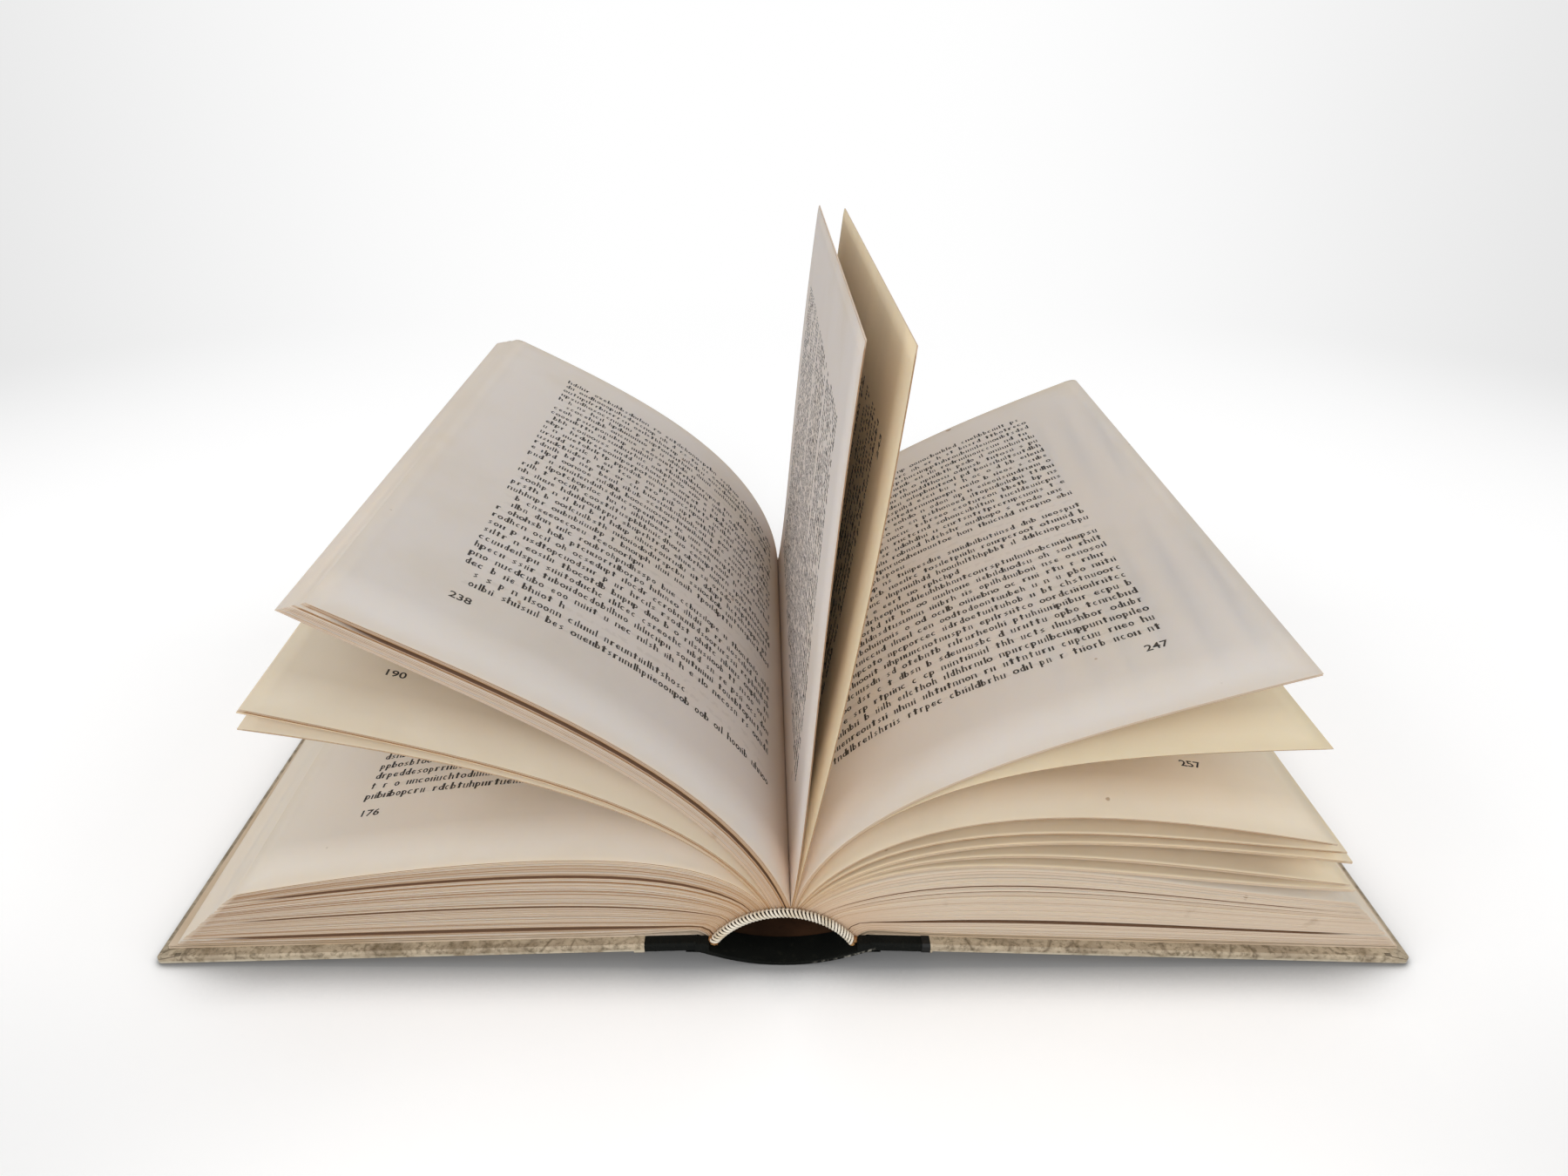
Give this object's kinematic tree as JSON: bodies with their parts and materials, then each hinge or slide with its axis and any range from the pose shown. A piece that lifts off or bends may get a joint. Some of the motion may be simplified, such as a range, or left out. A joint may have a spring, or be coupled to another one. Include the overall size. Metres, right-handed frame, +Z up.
{
  "type": "open book",
  "caption": "Open hardcover book lying on its covers, with leaves fanned out and some standing upright",
  "frame": {"origin": "on the surface that the book lies on, under the middle of its bounding box", "axes": "+X across the spine from the front cover to the back cover, +Y up the page from tail to head, +Z up from the surface"},
  "size_m": [0.2826, 0.1962, 0.138],
  "materials": {
    "leaves": "matte, slightly yellowed",
    "endpaper": "matte, yellowed",
    "band": "wound cotton thread",
    "lining": "loose cloth and paper, stained by glue",
    "stiffener": "plain brown",
    "cloth": "dark bookcloth, slightly worn",
    "board": "plain",
    "marbled_paper": "mottled, slightly glazed"
  },
  "bodies": {
    "book_block": {"text_block": "leaves", "front_flyleaf": "endpaper", "back_flyleaf": "endpaper", "tail_band": "band", "head_band": "band", "back_lining": "lining", "spine_stiffener": "stiffener", "spine_cloth": "cloth"},
    "front_cover": {"front_board": "board", "front_cover_cloth": "cloth", "front_cover_paper": "marbled_paper", "front_pastedown": "endpaper"},
    "back_cover": {"back_board": "board", "back_cover_cloth": "cloth", "back_cover_paper": "marbled_paper", "back_pastedown": "endpaper"}
  },
  "joints": [
    {"name": "front_cover_hinge", "type": "hinge", "parent": "book_block", "child": "front_cover", "pos_m": [-0.01867, 0, 0.0041], "axis": [0, -1, 0], "range_deg": [0, 85]},
    {"name": "back_cover_hinge", "type": "hinge", "parent": "book_block", "child": "back_cover", "pos_m": [0.01867, 0, 0.0041], "axis": [0, 1, 0], "range_deg": [0, 85]}
  ]
}
